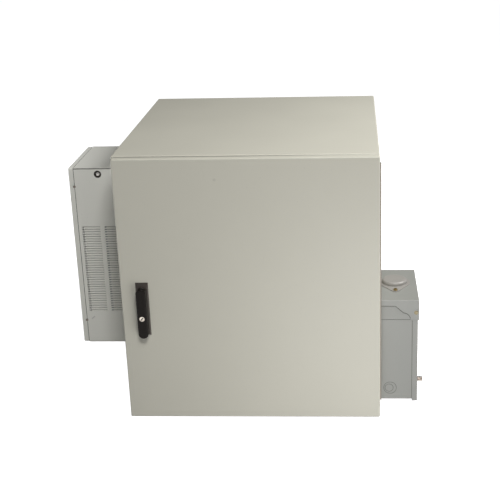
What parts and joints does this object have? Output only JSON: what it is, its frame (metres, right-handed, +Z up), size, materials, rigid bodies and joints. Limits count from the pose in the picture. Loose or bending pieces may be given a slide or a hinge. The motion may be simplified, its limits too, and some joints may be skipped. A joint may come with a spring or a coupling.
{
  "type": "pole-mount enclosure",
  "caption": "Box-shaped outdoor equipment cabinet for a pole, with a hinged door and swing handle, a louvred cooling unit on one side and a rainproof load centre on the other.",
  "frame": {"origin": "centre of the cabinet body's base face", "axes": "+Z up, +Y towards the pole, the door faces -Y, the load centre is on +X"},
  "size_m": [1.026, 0.837, 0.767],
  "materials": {
    "cabinet_paint": "light warm grey powder coat, fine orange peel",
    "rail_zinc": "bright zinc-plated steel",
    "bracket_zinc": "hot-dip galvanised steel",
    "copper": "plain copper bar",
    "yellow_zinc": "yellow zinc-plated screws",
    "insulator": "moulded insulating plastic",
    "foam": "closed-cell black foam",
    "plug_rubber": "black rubber",
    "handle_black": "brown-black coated die casting",
    "latch_plastic": "black moulded plastic",
    "lock_chrome": "bright chrome key cylinder",
    "cooler_paint": "light warm grey powder coat",
    "coil_aluminium": "finned aluminium coil",
    "compressor_black": "black enamel",
    "centre_paint": "mid grey baked enamel",
    "breaker_plastic": "black moulded case",
    "terminal_aluminium": "tin-plated bar"
  },
  "bodies": {
    "cabinet": {"body_wrap": "cabinet_paint", "top_panel": "cabinet_paint", "base_panel": "cabinet_paint", "entry_plate": "cabinet_paint", "rack_rail_left": "rail_zinc", "rack_rail_right": "rail_zinc", "hinge_body_leaf": "rail_zinc", "hinge_pin": "rail_zinc", "condenser_motor": "rail_zinc", "evaporator_motor": "rail_zinc", "conduit_nipple": "rail_zinc", "nipple_locknuts": "rail_zinc", "lid_screws": "rail_zinc", "port_bush": "rail_zinc", "pole_bracket_lower": "bracket_zinc", "pole_bracket_upper": "bracket_zinc", "bracket_bolts": "bracket_zinc", "ground_bar": "copper", "ground_screws": "yellow_zinc", "pivot_screws": "yellow_zinc", "hub_screws": "yellow_zinc", "ground_standoffs": "insulator", "breaker_base": "insulator", "cooler_gasket": "foam", "hole_plugs": "plug_rubber", "cooler_chassis": "cooler_paint", "cooler_side_front": "cooler_paint", "cooler_side_rear": "cooler_paint", "cooler_lid": "cooler_paint", "cooler_divider": "cooler_paint", "condenser_coil": "coil_aluminium", "evaporator_coil": "coil_aluminium", "compressor": "compressor_black", "centre_box": "centre_paint", "centre_hood": "centre_paint", "hub_plate": "centre_paint", "dead_front": "centre_paint", "breaker_cases": "breaker_plastic", "neutral_bar": "terminal_aluminium", "earth_bar": "terminal_aluminium"},
    "door": {"door_panel": "cabinet_paint", "door_gasket": "foam", "door_stiffener_left": "cabinet_paint", "door_stiffener_right": "cabinet_paint", "hinge_door_leaf": "rail_zinc", "handle_dish": "handle_black", "latch_housing": "latch_plastic", "rod_guides": "latch_plastic"},
    "handle_shaft": {"handle_spindle": "rail_zinc", "latch_cam": "rail_zinc"},
    "lever": {"handle_lever": "handle_black", "lever_pin": "rail_zinc"},
    "key_plug": {"lock_cylinder": "lock_chrome"},
    "upper_rod": {"latch_rod_upper": "rail_zinc"},
    "lower_rod": {"latch_rod_lower": "rail_zinc"},
    "outdoor_fan": {"condenser_fan": "latch_plastic"},
    "indoor_fan": {"evaporator_fan": "latch_plastic"},
    "load_cover": {"centre_cover": "centre_paint", "hasp_stud": "rail_zinc"},
    "switch": {"breaker_toggle": "breaker_plastic"}
  },
  "joints": [
    {"name": "door_swing", "type": "hinge", "parent": "cabinet", "child": "door", "pos_m": [0.359, -0.3703, 0.395], "axis": [0, 0, 1], "range_deg": [0, 120]},
    {"name": "handle_turn", "type": "hinge", "parent": "door", "child": "handle_shaft", "pos_m": [-0.2935, -0.4, 0.3925], "axis": [0, -1, 0], "range_deg": [0, 90]},
    {"name": "handle_lift", "type": "hinge", "parent": "handle_shaft", "child": "lever", "pos_m": [-0.2935, -0.41325, 0.3925], "axis": [-1, 0, 0], "range_deg": [0, 25]},
    {"name": "key_turn", "type": "hinge", "parent": "lever", "child": "key_plug", "pos_m": [-0.2935, -0.41325, 0.3195], "axis": [0, -1, 0], "range_deg": [0, 90]},
    {"name": "upper_rod_slide", "type": "slide", "parent": "door", "child": "upper_rod", "axis": [0, 0, -1], "range_m": [0, 0.014]},
    {"name": "lower_rod_slide", "type": "slide", "parent": "door", "child": "lower_rod", "axis": [0, 0, 1], "range_m": [0, 0.014]},
    {"name": "outdoor_fan_spin", "type": "hinge", "parent": "cabinet", "child": "outdoor_fan", "pos_m": [-0.4525, -0.067, 0.362], "axis": [0, 1, 0], "continuous": true},
    {"name": "indoor_fan_spin", "type": "hinge", "parent": "cabinet", "child": "indoor_fan", "pos_m": [-0.4525, -0.067, 0.5865], "axis": [0, 1, 0], "continuous": true},
    {"name": "load_cover_lift", "type": "hinge", "parent": "cabinet", "child": "load_cover", "pos_m": [0.4615, -0.19025, 0.2868], "axis": [0, -1, 0], "range_deg": [0, 90]},
    {"name": "breaker_switch", "type": "hinge", "parent": "cabinet", "child": "switch", "pos_m": [0.445, -0.19025, 0.172], "axis": [0, 1, 0], "range_deg": [0, 32]}
  ],
  "couplings": [
    {"joint": "upper_rod_slide", "follows": "handle_turn", "m_per_rad": 0.0089127},
    {"joint": "lower_rod_slide", "follows": "handle_turn", "m_per_rad": 0.0089127}
  ]
}
